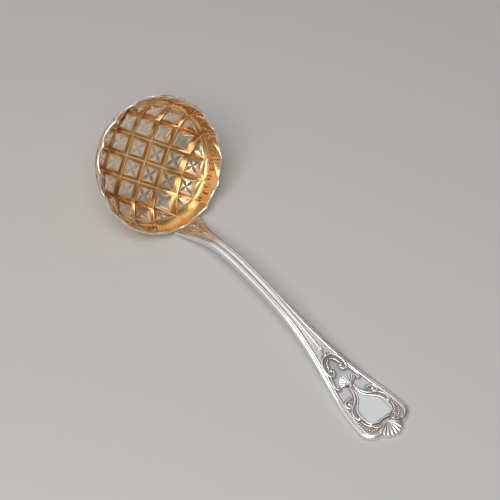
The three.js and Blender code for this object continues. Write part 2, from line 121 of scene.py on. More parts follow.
softbox("top_box", (0.22, -0.42, 0.87), (0, 0, 0.02), 0.80, 0.70, 5.6)
softbox("back_box", (-0.44, 0.44, 0.86), (0.02, 0, 0.01), 0.85, 1.35, 2.6, on_table=False)
softbox("bowl_box", (0.95, 0.42, 0.36), (-0.06, 0, 0.02), 0.80, 0.50, 0.62, on_table=False)
softbox("side_box", (-0.68, -0.60, 0.48), (0, 0, 0.02), 1.45, 0.95, 3.5, on_table=False)


# Bowl. One sheet of silver, raised and chased into a quilt of square cells, pierced, and washed
# with gold inside and out. The chasing leaves round ridges between the cells, and the rim is
# filed round and has lost its gold.
bowl_centre = Vector((-0.068034, 0, 0.028855))
bowl_tilt = math.radians(54.8)
lattice_pitch = 0.0099
ring_radius = 0.0271
wall_height = 0.0086
dome_sag = 0.0074
dome_power = 5
crest_radius = 0.00018
flute_angle = math.pi / 8
rim_spread = 0.0005
flute_fill = 0.00065
ridge_rise = 0.0004
scallop_fall = 0.0012
rim_start = 0.0298
rim_drop = 0.0022
rim_bead_radius = 0.00054
ring_margin = 0.0004
line_half_width = 0.0002
pan_reach = {"whole": 0.0047, "edge": 0.0041, "corner": 0.0013}
pan_growth = {"whole": 1.17, "edge": 1.10, "corner": 1.28}
ring_fade_start_share, ring_fade_share = 0.93, 0.07
crest_facing = 0.05
crest_bend_least, crest_bend_most = 0.2, 1.4
merge_distance = 0.000004
smooth_angle = math.radians(18)
# Painted light in the gilt: the crest gold is a painted highlight, the flat gold a painted sheen and
# the slope gold painted shade, all copies of one gilt; the wall gold is the gilt's own tone. The crest
# gold is also the pale colour of worn, thin gold.
pale_gold_highlight_and_wear = (1.0, 0.80, 0.50, 1)
gilt_slope_painted_shade = (0.72, 0.33, 0.085, 1)
gilt_flat_painted_sheen = (0.90, 0.68, 0.46, 1)
gilt_wall = (0.87, 0.515, 0.17, 1)
gilt_painted_shade = (0.30, 0.13, 0.04, 1)
bare_silver = (0.96, 0.94, 0.90, 1)


def smooth_copy(node, name):
    """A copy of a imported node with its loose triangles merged."""
    bpy.ops.object.select_all(action="DESELECT")
    frame["nodes"][node].select_set(True)
    bpy.context.view_layer.objects.active = frame["nodes"][node]
    bpy.ops.object.duplicate()
    piece = bpy.context.object
    piece.name = name
    piece.data.name = name
    del piece["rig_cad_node"]
    piece.data.materials.clear()
    bpy.ops.object.mode_set(mode="EDIT")
    bpy.ops.mesh.select_mode(type="EDGE")
    bpy.ops.mesh.select_all(action="SELECT")
    bpy.ops.mesh.remove_doubles(threshold=merge_distance)
    bpy.ops.mesh.select_all(action="DESELECT")
    return piece


def cell_centre(u, v):
    """The middle of the cell that a place lies in, and what kind of cell it is."""
    column, row = math.floor(abs(u) / lattice_pitch), math.floor(abs(v) / lattice_pitch)
    near = math.sqrt(ring_radius ** 2 - lattice_pitch ** 2)
    slant = ring_radius / math.sqrt(2)
    if column < 2 and row < 2:
        kind, place = "whole", ((column + 0.5) * lattice_pitch, (row + 0.5) * lattice_pitch)
    elif min(column, row) == 0:
        far = (2 * lattice_pitch * 2 + ring_radius + near) / 4
        half = lattice_pitch / 2
        kind, place = "edge", (far, half) if column > row else (half, far)
    else:
        far = (2 * lattice_pitch + near + slant) / 3
        beside = (lattice_pitch * 2 + slant) / 3
        kind, place = "corner", (far, beside) if abs(u) > abs(v) else (beside, far)
    return kind, Vector((math.copysign(place[0], u), math.copysign(place[1], v)))


def chord_radius(angle):
    """How far out the straight line between two neighbouring ring corners lies at an angle."""
    first = math.asin(lattice_pitch / ring_radius)
    corners = [0, first, math.pi / 4, math.pi / 2 - first, math.pi / 2]
    angle = angle % (math.pi / 2)
    low, high = next(pair for pair in zip(corners, corners[1:]) if angle <= pair[1] + 1e-9)
    middle = (low + high) / 2
    return ring_radius * math.cos((high - low) / 2) / math.cos(angle - middle)


bowl = smooth_copy("bowl", "gilt_bowl")
seat = Matrix.Translation(bowl_centre) @ Matrix.Rotation(bowl_tilt, 4, "Y")
seat = seat @ Matrix.Rotation(-math.pi / 4, 4, "Z")
to_bowl = seat.inverted()
bowl_mesh = bmesh.from_edit_mesh(bowl.data)
# The copy's pans are widened, its ring is made a true circle and its rim is scalloped deeper.
for vertex in bowl_mesh.verts:
    place = to_bowl @ vertex.co
    kind, centre = cell_centre(place.x, place.y)
    off_line = min(abs(value - round(value / lattice_pitch) * lattice_pitch) for value in place.xy)
    reach = (place.xy - centre).length
    inner = place.xy.length < ring_radius - ring_margin
    if inner and off_line > line_half_width and reach < pan_reach[kind]:
        place.xy = centre + (place.xy - centre) * pan_growth[kind]
    chord = chord_radius(math.atan2(place.y, place.x))
    inside = min(max((place.xy.length / chord - ring_fade_start_share) / ring_fade_share, 0), 1)
    below = min(max(-place.z / wall_height, 0), 1)
    across = math.atan2(place.y, place.x) / flute_angle % 1
    arch = 4 * across * (1 - across)
    up_wall = 1 - below if place.xy.length > ring_radius else 0
    place.xy *= 1 + up_wall * (rim_spread - flute_fill * arch) / place.xy.length
    place.z += up_wall * (ridge_rise - scallop_fall * arch)
    if inside > 0:
        place.xy *= 1 + (ring_radius / chord - 1) * inside * below
        place.z += dome_sag * (1 - (chord / ring_radius) ** dome_power) * inside * below
    vertex.co = seat @ place
    vertex.co.z = max(vertex.co.z, 0)
bowl_mesh.normal_update()
rim_places = {}
for vertex in bowl_mesh.verts:
    place = to_bowl @ vertex.co
    if place.z > -rim_drop and place.xy.length > rim_start:
        rim_places.setdefault(round(math.atan2(place.y, place.x), 2), []).append(vertex.co.copy())
for edge in bowl_mesh.edges:
    facing = [(to_bowl.to_3x3() @ face.normal).z for face in edge.link_faces]
    bend = edge.calc_face_angle_signed(0)
    edge.select_set(min(facing) > crest_facing and crest_bend_least < bend < crest_bend_most)
bmesh.update_edit_mesh(bowl.data)
bpy.ops.mesh.duplicate()
bpy.ops.mesh.separate(type="SELECTED")
bpy.ops.object.mode_set(mode="OBJECT")
crests = next(piece for piece in bpy.context.selected_objects if piece != bowl)
bpy.ops.object.select_all(action="DESELECT")
bpy.context.view_layer.objects.active = bowl
bowl.select_set(True)
bpy.ops.object.shade_smooth_by_angle(angle=smooth_angle)


def math_node(tree, operation, *values):
    """A Math node. Each value is a number or an output socket."""
    node = tree.nodes.new("ShaderNodeMath")
    node.operation = operation
    for place, value in enumerate(values):
        if isinstance(value, bpy.types.NodeSocket):
            tree.links.new(value, node.inputs[place])
        else:
            node.inputs[place].default_value = value
    return node.outputs[0]


def mix_colour(tree, share, first, second):
    """A colour mix. Share, first and second are values or output sockets."""
    node = tree.nodes.new("ShaderNodeMix")
    node.data_type = "RGBA"
    for name, value in (("Factor", share), ("A", first), ("B", second)):
        socket = node.inputs[name]
        if isinstance(value, bpy.types.NodeSocket):
            tree.links.new(value, socket)
        else:
            socket.default_value = value
    return node.outputs["Result"]


def bowl_place_group():
    """Where a place on the bowl lies: how far it is from the nearest line between cells, as a
    share of half a cell, and how far it is from the bowl's axis."""
    group = bpy.data.node_groups.new("bowl_place", "ShaderNodeTree")
    for name in ("Line", "Radius"):
        group.interface.new_socket(name, in_out="OUTPUT", socket_type="NodeSocketFloat")
    out = group.nodes.new("NodeGroupOutput")
    place = group.nodes.new("ShaderNodeTexCoord")
    untilt = group.nodes.new("ShaderNodeMapping")
    untilt.vector_type = "TEXTURE"
    untilt.inputs["Location"].default_value = bowl_centre
    untilt.inputs["Rotation"].default_value = (0, bowl_tilt, 0)
    unturn = group.nodes.new("ShaderNodeMapping")
    unturn.vector_type = "TEXTURE"
    unturn.inputs["Rotation"].default_value = (0, 0, -math.pi / 4)
    split = group.nodes.new("ShaderNodeSeparateXYZ")
    group.links.new(place.outputs["Object"], untilt.inputs["Vector"])
    group.links.new(untilt.outputs["Vector"], unturn.inputs["Vector"])
    group.links.new(unturn.outputs["Vector"], split.inputs["Vector"])
    half_cell = lattice_pitch / 2
    waves = [math_node(group, "PINGPONG", split.outputs[axis], half_cell) for axis in "XY"]
    line = math_node(group, "MINIMUM", *waves)
    squares = [math_node(group, "POWER", split.outputs[axis], 2) for axis in "XY"]
    radius = math_node(group, "SQRT", math_node(group, "ADD", *squares))
    group.links.new(math_node(group, "DIVIDE", line, half_cell), out.inputs["Line"])
    group.links.new(radius, out.inputs["Radius"])
    return group


recess_start_share, recess_full_share = 0.86, 0.42
recess_samples = 12
scratch_turns = (0.4, -0.9)
scratch_scale = (160, 5200, 900)
smudge_scale = 110


def wear_and_shade_group():
    """What use leaves on silver, and a shade mask: recesses that the cloth misses, found by ambient
    occlusion, where silver holds tarnish and gold and solder get painted shade; fine scratches; broad
    smudges.
    """
    group = bpy.data.node_groups.new("wear_and_shade", "ShaderNodeTree")
    group.interface.new_socket("Reach", in_out="INPUT", socket_type="NodeSocketFloat")
    for name in ("Recess", "Scratches", "Smudges"):
        group.interface.new_socket(name, in_out="OUTPUT", socket_type="NodeSocketFloat")
    source = group.nodes.new("NodeGroupInput")
    out = group.nodes.new("NodeGroupOutput")
    shade = group.nodes.new("ShaderNodeAmbientOcclusion")
    shade.samples = recess_samples
    group.links.new(source.outputs["Reach"], shade.inputs["Distance"])
    recess = group.nodes.new("ShaderNodeMapRange")
    recess.interpolation_type = "SMOOTHSTEP"
    recess.inputs["From Min"].default_value = recess_start_share
    recess.inputs["From Max"].default_value = recess_full_share
    group.links.new(shade.outputs["AO"], recess.inputs["Value"])
    place = group.nodes.new("ShaderNodeTexCoord")
    streaks = []
    for turn in scratch_turns:
        stretch = group.nodes.new("ShaderNodeMapping")
        stretch.inputs["Rotation"].default_value = (0, 0, turn)
        stretch.inputs["Scale"].default_value = scratch_scale
        noise = group.nodes.new("ShaderNodeTexNoise")
        noise.inputs["Scale"].default_value = 1.0
        noise.inputs["Detail"].default_value = 1.5
        group.links.new(place.outputs["Object"], stretch.inputs["Vector"])
        group.links.new(stretch.outputs["Vector"], noise.inputs["Vector"])
        streaks.append(noise.outputs["Fac"])
    smudge = group.nodes.new("ShaderNodeTexNoise")
    smudge.inputs["Scale"].default_value = smudge_scale
    smudge.inputs["Detail"].default_value = 4
    smudge.inputs["Roughness"].default_value = 0.6
    group.links.new(place.outputs["Object"], smudge.inputs["Vector"])
    group.links.new(recess.outputs["Result"], out.inputs["Recess"])
    group.links.new(math_node(group, "MULTIPLY", *streaks), out.inputs["Scratches"])
    group.links.new(smudge.outputs["Fac"], out.inputs["Smudges"])
    return group


def ranged(tree, value, low, high):
    """A value spread smoothly from low to high into nought to one."""
    node = tree.nodes.new("ShaderNodeMapRange")
    node.interpolation_type = "SMOOTHSTEP"
    tree.links.new(value, node.inputs["Value"])
    node.inputs["From Min"].default_value = low
    node.inputs["From Max"].default_value = high
    return node.outputs["Result"]


def metal(name):
    """A new metal material, with its tree, shader and wear node."""
    material = bpy.data.materials.new(name)
    material.use_nodes = True
    tree = material.node_tree
    shader = tree.nodes["Principled BSDF"]
    shader.inputs["Metallic"].default_value = 1.0
    wear_and_shade = tree.nodes.new("ShaderNodeGroup")
    wear_and_shade.node_tree = wear_and_shade_marks
    return material, tree, shader, wear_and_shade


smudge_dulling, smudge_base = 0.14, 0.05
scratch_share = 0.12


def roughen(tree, shader, wear_and_shade, polished, dull, dent_scale, dent_depth):
    """Roughness from smudges and recesses, and a bump of dents and fine scratches."""
    smudged = math_node(tree, "MULTIPLY_ADD", wear_and_shade.outputs["Smudges"], smudge_dulling,
                        polished - smudge_base)
    recessed = math_node(tree, "MULTIPLY_ADD", wear_and_shade.outputs["Recess"], dull - polished, smudged)
    tree.links.new(recessed, shader.inputs["Roughness"])
    dents = tree.nodes.new("ShaderNodeTexNoise")
    dents.inputs["Scale"].default_value = dent_scale
    dents.inputs["Detail"].default_value = 1
    place = tree.nodes.new("ShaderNodeTexCoord")
    tree.links.new(place.outputs["Object"], dents.inputs["Vector"])
    height = math_node(tree, "MULTIPLY_ADD", wear_and_shade.outputs["Scratches"], scratch_share,
                       dents.outputs["Fac"])
    bump = tree.nodes.new("ShaderNodeBump")
    bump.inputs["Strength"].default_value = 1.0
    bump.inputs["Distance"].default_value = dent_depth
    tree.links.new(height, bump.inputs["Height"])
    tree.links.new(bump.outputs["Normal"], shader.inputs["Normal"])


crest_stop_share, flat_stop_share = 0.015, 0.31
slope_stop_shares = (0.05, 0.26)
wall_start, wall_full = 0.0270, 0.0274
rub_start, rub_full = 0.50, 0.72
rubbed_share = 0.45
recess_share = 0.75
wear_and_shade_marks = wear_and_shade_group()
gilt, tree, shader, wear_and_shade = metal("gilt")
wear_and_shade.inputs["Reach"].default_value = 0.0014
where = tree.nodes.new("ShaderNodeGroup")
where.node_tree = bowl_place_group()
# Painted light: the ramp paints the gold of the quilt by place. The crest lines are pale cream as a
# painted highlight, the pans pale pink as a painted sheen, and the slopes deep orange as painted shade.
tone = tree.nodes.new("ShaderNodeValToRGB")
tone.color_ramp.elements[0].position = crest_stop_share
tone.color_ramp.elements[0].color = pale_gold_highlight_and_wear
tone.color_ramp.elements[1].position = flat_stop_share
tone.color_ramp.elements[1].color = gilt_flat_painted_sheen
for stop_share in slope_stop_shares:
    tone.color_ramp.elements.new(stop_share).color = gilt_slope_painted_shade
tree.links.new(where.outputs["Line"], tone.inputs["Fac"])
on_wall = ranged(tree, where.outputs["Radius"], wall_start, wall_full)
gold = mix_colour(tree, on_wall, tone.outputs["Color"], gilt_wall)
rubbed = ranged(tree, wear_and_shade.outputs["Smudges"], rub_start, rub_full)
rubbed = math_node(tree, "MULTIPLY", rubbed, rubbed_share)
gold = mix_colour(tree, rubbed, gold, pale_gold_highlight_and_wear)
# Painted shade: the gold turns dark brown in recesses by the ambient-occlusion mask.
shaded = math_node(tree, "MULTIPLY", wear_and_shade.outputs["Recess"], recess_share)
gold = mix_colour(tree, shaded, gold, gilt_painted_shade)
tree.links.new(gold, shader.inputs["Base Color"])
roughen(tree, shader, wear_and_shade, polished=0.30, dull=0.5, dent_scale=420, dent_depth=0.00005)
bowl.data.materials.append(gilt)
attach(bowl, "root")
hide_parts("bowl")


# Crest bars. Round bars run along the ridges of the quilt, the ring and the flutes. Their pale cream
# colour and half-metal shading are a painted highlight, so that each ridge reads as a bright line.
painted_highlight_gold = (1.0, 0.92, 0.74, 1)
highlight_metal_share = 0.45
highlight_smudge_share = 0.3


def round_bar(piece, radius):
    """Turns a piece made of edges, or a curve, into a mesh bar with closed ends."""
    bpy.ops.object.select_all(action="DESELECT")
    bpy.context.view_layer.objects.active = piece
    piece.select_set(True)
    if piece.type == "MESH":
        bpy.ops.object.convert(target="CURVE")
    piece.data.bevel_depth = radius
    piece.data.bevel_resolution = 2
    piece.data.use_fill_caps = True
    bpy.ops.object.convert(target="MESH")
    bpy.ops.object.shade_smooth_by_angle(angle=math.radians(50))


crests.name = crests.data.name = "painted_highlight_crests"
crest_mesh = bmesh.new()
crest_mesh.from_mesh(crests.data)
bmesh.ops.delete(crest_mesh, geom=crest_mesh.faces[:], context="FACES_ONLY")
crest_mesh.to_mesh(crests.data)
crest_mesh.free()
round_bar(crests, crest_radius)
# Painted highlight: the bars' gold is pale cream and half metal, brighter than the gilt around it, and
# it is dulled towards the wall gold by smudges.
crest_highlight, tree, shader, wear_and_shade = metal("painted_highlight_gold")
wear_and_shade.inputs["Reach"].default_value = 0.0008
smudged = math_node(tree, "MULTIPLY", wear_and_shade.outputs["Smudges"], highlight_smudge_share)
tree.links.new(mix_colour(tree, smudged, painted_highlight_gold, gilt_wall), shader.inputs["Base Color"])
shader.inputs["Metallic"].default_value = highlight_metal_share
roughen(tree, shader, wear_and_shade, polished=0.30, dull=0.4, dent_scale=600, dent_depth=0.00002)
crests.data.materials.clear()
crests.data.materials.append(crest_highlight)
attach(crests, "root")


# Rim. The edge of the sheet is rolled over and filed round, and its gold has gone, so that a
# bright silver line runs round the scallops.
def curve_bar(name, places, radii, closed=False):
    """A round bar through places, with its own radius at each."""
    curve = bpy.data.curves.new(name, "CURVE")
    curve.dimensions = "3D"
    spline = curve.splines.new("POLY")
    spline.points.add(len(places) - 1)
    for point, place, radius in zip(spline.points, places, radii):
        point.co = (*place, 1)
        point.radius = radius
    spline.use_cyclic_u = closed
    piece = bpy.data.objects.new(name, curve)
    scene.collection.objects.link(piece)
    round_bar(piece, 1.0)
    return bpy.context.object


thin_gold_start, thin_gold_full = 0.5, 0.75
thin_gold_share = 0.5
rim_line = [sum(places, Vector()) / len(places) for _, places in sorted(rim_places.items())]
rim = curve_bar("silver_rim", rim_line, [rim_bead_radius] * len(rim_line), closed=True)
rim_metal, tree, shader, wear_and_shade = metal("rubbed_silver")
wear_and_shade.inputs["Reach"].default_value = 0.0008
thin_gold = ranged(tree, wear_and_shade.outputs["Smudges"], thin_gold_start, thin_gold_full)
thin_gold = math_node(tree, "MULTIPLY", thin_gold, thin_gold_share)
tree.links.new(mix_colour(tree, thin_gold, bare_silver, pale_gold_highlight_and_wear), shader.inputs["Base Color"])
roughen(tree, shader, wear_and_shade, polished=0.26, dull=0.4, dent_scale=500, dent_depth=0.00003)
rim.data.materials.append(rim_metal)
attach(rim, "root")


# Handle. One bar of silver, struck in a die: heel, arched stem with threaded edges, and a spread
# end. It is polished by hand, so its grooves and its sunk ground keep a brown tarnish, and some
# of the bowl's gold runs on to the top of its heel.
silver_face = (0.90, 0.895, 0.885, 1)
silver_tarnish = (0.28, 0.20, 0.15, 1)
silver_ground = (0.60, 0.63, 0.68, 1)
heel_gold = (0.54, 0.46, 0.35, 1)
gold_start, gold_end = -0.046, -0.031

heel_length = 0.0054
heel_half_width = 0.0075
stem_half_width = 0.00315
stem_start, stem_end = 0.0374, 0.0624
end_half_width = 0.0125
blunt_half_width = 0.0044
corner_run = 0.0056
heel_lap = 0.00065
lap_rise, lap_fall = (-0.0022, -0.0004), (0.0008, 0.0075)
heel_fade = 0.012
wall_radius, rim_radius = 0.03107, 0.0314
flute_bulge = 0.0007
wall_lean = 0.966
scallop_dip = 0.0002
climb = Vector((0.938, 0, 0.346)).normalized()
rise = Vector((-0.050188, 0, 0.003063))
crest = Vector((-0.009188, 0, 0.0147))
flat_start = Vector((0.073812, 0, 0.0024))
flat_end = Vector((0.090412, 0, 0.0024))
ahead = Vector((1, 0, 0))


def bezier(points, share):
    """A place on a cubic Bezier curve."""
    rest = 1 - share
    weights = (rest ** 3, 3 * share * rest ** 2, 3 * share ** 2 * rest, share ** 3)
    return sum((point * weight for point, weight in zip(points, weights)), 0 * points[0])


side_view = [(rise, rise + climb * 0.00492, crest - ahead * 0.0246, crest),
             (crest, crest + ahead * 0.04565, flat_start - ahead * 0.02324, flat_start)]
path = [bezier(points, k / 300) for points in side_view for k in range(300)] + [flat_start, flat_end]
path_marks = [0.0]
for before, after in zip(path, path[1:]):
    path_marks.append(path_marks[-1] + (after - before).length)
path_length = path_marks[-1]
handle_length = heel_length + path_length


def smooth_step(value, low, high):
    """Nought below low, one above high, and smooth between them."""
    share = min(max((value - low) / (high - low), 0), 1)
    return share * share * (3 - 2 * share)


def on_handle(along, across, above):
    """A place by its distance from the heel's tip, from the middle line and over the top face."""
    beyond = along - heel_length
    if beyond <= 0:
        middle, tangent = rise + climb * beyond, climb
    elif beyond >= path_length:
        middle, tangent = flat_end + ahead * (beyond - path_length), ahead
    else:
        k = min(bisect.bisect_right(path_marks, beyond), len(path) - 1)
        share = (beyond - path_marks[k - 1]) / (path_marks[k] - path_marks[k - 1])
        middle = path[k - 1].lerp(path[k], share)
        before, after = path[max(k - 3, 0)], path[min(k + 2, len(path) - 1)]
        tangent = (after - before).normalized()
    angle = math.asin(min(abs(across) / rim_radius, 1))
    part = angle / flute_angle % 1
    arch = 4 * part * (1 - part)
    radius = wall_radius + flute_bulge * arch
    sag = (wall_radius - radius * math.cos(angle)) * wall_lean - scallop_dip * arch
    above += sag * (1 - smooth_step(beyond, 0, heel_fade))
    above += heel_lap * smooth_step(beyond, *lap_rise) * (1 - smooth_step(beyond, *lap_fall))
    place = middle + Vector((-tangent.z, 0, tangent.x)) * above
    return Vector((place.x, across, max(place.z, 0)))


corner_start = handle_length - corner_run
flare = [Vector((heel_length, heel_half_width)), Vector((0.015, 0.004368)),
         Vector((0.023, stem_half_width)), Vector((stem_start, stem_half_width))]
swell = [Vector((stem_end, stem_half_width)), Vector((0.1112, stem_half_width)),
         Vector((0.1234, end_half_width)), Vector((corner_start, end_half_width))]
heel_angles = [math.pi * (0.92 - 0.42 * k / 10) for k in range(10)]
outline = [Vector((heel_length * (1 + math.cos(angle)), heel_half_width * math.sin(angle)))
           for angle in heel_angles]
outline += [bezier(flare, k / 30) for k in range(30)]
outline += [Vector((stem_start + (stem_end - stem_start) * k / 20, stem_half_width)) for k in range(20)]
outline += [bezier(swell, k / 150) for k in range(150)]
corner_angles = [math.pi / 2 * k / 12 for k in range(13)]
corner_width = end_half_width - blunt_half_width
outline += [Vector((corner_start + corner_run * math.sin(angle),
                    blunt_half_width + corner_width * math.cos(angle))) for angle in corner_angles]

# The scrolls of one side: distance back from the handle's end and out from its middle line.
scroll_lines = {
    "arch": [(44.0, 0.4), (43.2, 2.6), (41.0, 4.25), (38.0, 5.0), (35.2, 4.6), (34.6, 3.0),
             (36.0, 2.0), (37.4, 2.9)],
    "leaf": [(42.0, 0.4), (41.2, 1.6), (39.8, 2.5), (38.2, 3.0), (37.0, 3.9)],
    "arm": [(26.6, 1.0), (24.0, 1.4), (21.5, 2.4), (19.4, 4.4), (17.9, 6.9), (16.2, 8.6)],
    "volute": [(21.8, 3.8), (22.3, 5.4), (21.6, 7.6), (19.8, 8.3), (18.5, 7.6), (19.2, 6.2),
               (20.6, 6.2)],
    "wing": [(17.0, 7.9), (15.0, 8.9), (12.8, 8.9), (11.5, 8.1), (12.2, 7.4)],
    "foot": [(10.8, 8.4), (8.8, 8.0), (7.0, 7.1), (5.9, 5.8), (5.8, 4.4)],
    "edge": [(35.4, 4.7), (33.2, 5.3), (31.2, 5.9), (29.2, 6.1), (28.0, 5.4), (28.8, 4.6)],
    "husk": [(5.6, 6.0), (4.4, 5.2), (3.6, 3.9), (4.2, 3.0)],
}
line_radius = {"arch": 0.60, "leaf": 0.42, "arm": 0.46, "volute": 0.52, "wing": 0.5, "foot": 0.42,
               "edge": 0.40, "husk": 0.50}
steps_between = 8
heel_thickness, stem_thickness, end_thickness = 0.0022, 0.0036, 0.0024
heel_tip_thickness = 0.0009
thin_run = (0.057, 0.1274)
border_width = 0.0029
border_most_share = 0.72
groove_depth = 0.00040
inner_groove_share, outer_groove_share = 0.09, 0.50
groove_span_share = outer_groove_share - inner_groove_share
groove_rise_share = 0.08
thread_power = 0.6
groove_dark_share = 1.3
inner_dark_reach_share, outer_dark_reach_share = 0.08, 0.06
groove_run = (0.004, 0.014)
edge_start_share, edge_run_share, edge_drop_share = 0.54, 0.345, 0.15
edge_power = 1.35
border_end_share = edge_start_share + edge_run_share
field_depth = 0.00035
field_start, field_bow = 0.0445, 192
field_edge = (-0.0003, 0.0004)
flat_back_share = 0.3
stem_crown = 0.00016
crown_start, crown_end = (0.006, 0.022), (0.0460, 0.0700)
struck_end, struck_heel = 0.0470, 0.020
matted_end = 0.0215
tarnish_start, tarnish_reach, matted_reach = 0.0005, 0.0017, 0.0028
heel_tarnish_share = 0.6


def smooth_line(corners):
    """A smooth line of (back, out) places in metres through corners in millimetres."""
    places = []
    ends = [corners[0]] + corners + [corners[-1]]
    for a, b, c, d in zip(ends, ends[1:], ends[2:], ends[3:]):
        for k in range(steps_between):
            t = k / steps_between
            places.append([((2 * q) + (r - p) * t + (2 * p - 5 * q + 4 * r - s) * t * t
                            + (3 * q - p - 3 * r + s) * t ** 3) / 2000
                           for p, q, r, s in zip(a, b, c, d)])
    places.append([value / 1000 for value in corners[-1]])
    return places


scroll_places = {name: smooth_line(corners) for name, corners in scroll_lines.items()}
# Tarnish stays near these places: the scrolls, the border, the plate and the heel's lines.
ground_marks = [(back, out) for places in scroll_places.values() for back, out in places[::3]]
ground_marks += [(0.001 * back, 0.001 * out) for back, out in (
    (18.0, 9.2), (16.8, 9.4), (15.5, 9.6), (14.2, 9.6), (13.0, 9.6), (11.8, 9.6), (10.5, 9.5),
    (9.2, 9.3), (8.0, 9.1), (6.5, 8.8), (5.4, 8.3), (4.6, 7.7), (3.9, 6.7), (3.5, 5.6))]

# The cartouche's outline: bell-shaped, its point towards the bowl.
plate_start = handle_length - 0.0248
plate_length = 0.0180
plate_half = 0.0069
foot_margin = 0.0003


def plate_place(share, half_share):
    """A place on the plate by shares of its length and of its half width."""
    return Vector((plate_start + plate_length * share, plate_half * half_share))


side_line = [plate_place(*pair) for pair in ((0, 0.08), (0.4, 0.08), (0.36, 1), (0.68, 1))]
foot_share = 0.74
foot_line = [plate_place(*pair) for pair in ((0.68, 1), (0.88, 1), (0.97, 0.98), (1, foot_share))]
plate_edge = [bezier(side_line, k / 20) for k in range(20)]
plate_edge += [bezier(foot_line, k / 12) for k in range(13)]
ground_marks += [(handle_length - place.x, place.y) for place in plate_edge]
plate_foot = handle_length - plate_start - plate_length - foot_margin
ground_marks += [(plate_foot, plate_half * k / 6) for k in range(5)]

# The lines of one side of the palmette on the heel: distance from its tip, and out.
heel_corners = {
    "ridge": [(8.0, 4.4), (12.0, 3.4), (17.0, 2.3), (22.0, 1.3), (28.0, 0.8), (36.0, 0.7)],
    "scroll": [(9.4, 0.3), (10.2, 1.5), (11.8, 1.9), (13.0, 1.1), (12.4, 0.5)],
    "lobe": [(8.0, 2.9), (9.6, 2.6), (11.0, 2.7)],
    "leaf": [(14.0, 0.2), (15.6, 0.7), (18.0, 0.4)],
}
for corners in heel_corners.values():
    ground_marks += [(handle_length - along, across) for along, across in smooth_line(corners)[::3]]


# The rounded side below the threads: shares of the border inwards and of the thickness down.
side_shares = [(0.09, 0.18), (0.045, 0.26), (0.015, 0.37), (0, 0.5), (0.01, 0.64), (0.06, 0.8),
               (0.2, 0.93), (0.4, 1)]


def half_section(along, half):
    """Half of the handle's section from the middle of its top to its back: each place has its
    distance across, its height over the top face, and how much tarnish and sunk ground it has."""
    beyond = along - heel_length
    full = heel_thickness + (stem_thickness - heel_thickness) * smooth_step(beyond, 0, heel_fade)
    thick = full + (end_thickness - full) * smooth_step(beyond, *thin_run)
    if beyond < 0:
        thick = heel_tip_thickness + (heel_thickness - heel_tip_thickness) * along / heel_length
    border = min(border_width, half * border_most_share)
    groove_share = smooth_step(beyond, *groove_run)
    groove = groove_depth * groove_share
    back = handle_length - along
    struck = back < struck_end or along < struck_heel
    places = []
    for k in range(19):
        across = (half - border) * k / 18
        sunk = smooth_step(field_start - field_bow * across ** 2 - back, *field_edge)
        near = 1
        if struck:
            near = min(math.hypot(back - spot[0], across - spot[1]) for spot in ground_marks)
        crown = stem_crown * (1 - (k / 18) ** 2) * smooth_step(beyond, *crown_start) * (1 - sunk)
        crown *= smooth_step(back, *crown_end)
        reach = matted_reach if back < matted_end else tarnish_reach
        dark = 1 - smooth_step(near, tarnish_start, reach)
        dark *= max(sunk, heel_tarnish_share if along < struck_heel else 0)
        places.append((across, crown - field_depth * sunk, dark, sunk))
    field = field_depth * sunk
    for k in range(1, 24):
        share = border_end_share * k / 24
        past_inner, past_outer = share - inner_groove_share, share - outer_groove_share
        if past_inner <= 0:
            above = -field + (field - groove) * share / inner_groove_share
        elif past_outer <= 0:
            thread = math.sin(math.pi * past_inner / groove_span_share)
            above = -groove * (1 - max(thread, 0) ** thread_power)
        else:
            above = -groove * max(1 - past_outer / groove_rise_share, 0) ** 2
            rounded_share = max((share - edge_start_share) / edge_run_share, 0)
            above -= edge_drop_share * thick * rounded_share ** edge_power
        dark = max(groove_dark_share - abs(past_inner) / inner_dark_reach_share,
                   groove_dark_share - abs(past_outer) / outer_dark_reach_share, 0)
        places.append((half - border * (1 - share), above, dark * groove_share, 0))
    places += [(half - border * inward, -thick * down, 0, 0) for inward, down in side_shares]
    return places + [(half * flat_back_share, -thick, 0, 0), (0, -thick, 0, 0)]


handle = bpy.data.objects.new("silver_handle", bpy.data.meshes.new("silver_handle"))
scene.collection.objects.link(handle)
handle_mesh = bmesh.new()
tarnish = handle_mesh.verts.layers.float.new("tarnish")
ground = handle_mesh.verts.layers.float.new("ground")
rings = []
for station in outline:
    right = half_section(station.x, station.y)
    left = [(-across, *rest) for across, *rest in right[-2:0:-1]]
    ring = []
    for across, above, dark, low in right + left:
        vertex = handle_mesh.verts.new(on_handle(station.x, across, above))
        vertex[tarnish] = dark
        vertex[ground] = low
        ring.append(vertex)
    rings.append(ring)
for ring, after in zip(rings, rings[1:]):
    for k in range(len(ring)):
        j = (k + 1) % len(ring)
        handle_mesh.faces.new((ring[k], after[k], after[j], ring[j]))
handle_mesh.faces.new(rings[0])
handle_mesh.faces.new(rings[-1][::-1])
bmesh.ops.recalc_face_normals(handle_mesh, faces=handle_mesh.faces[:])
handle_mesh.to_mesh(handle.data)
handle_mesh.free()


def finish_silver(piece, material, angle):
    """Smooths a piece of the handle and puts it in its place in the object."""
    bpy.ops.object.select_all(action="DESELECT")
    bpy.context.view_layer.objects.active = piece
    piece.select_set(True)
    bpy.ops.object.shade_smooth_by_angle(angle=math.radians(angle))
    piece.data.materials.clear()
    piece.data.materials.append(material)
    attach(piece, "root")


patch_spread_share, patch_least_share = 0.9, 0.45
recess_tarnish_share = 0.8
tarnish_most_share = 0.92
gold_most_share = 0.48
gold_slope_start, gold_slope_full = 0.45, 0.80


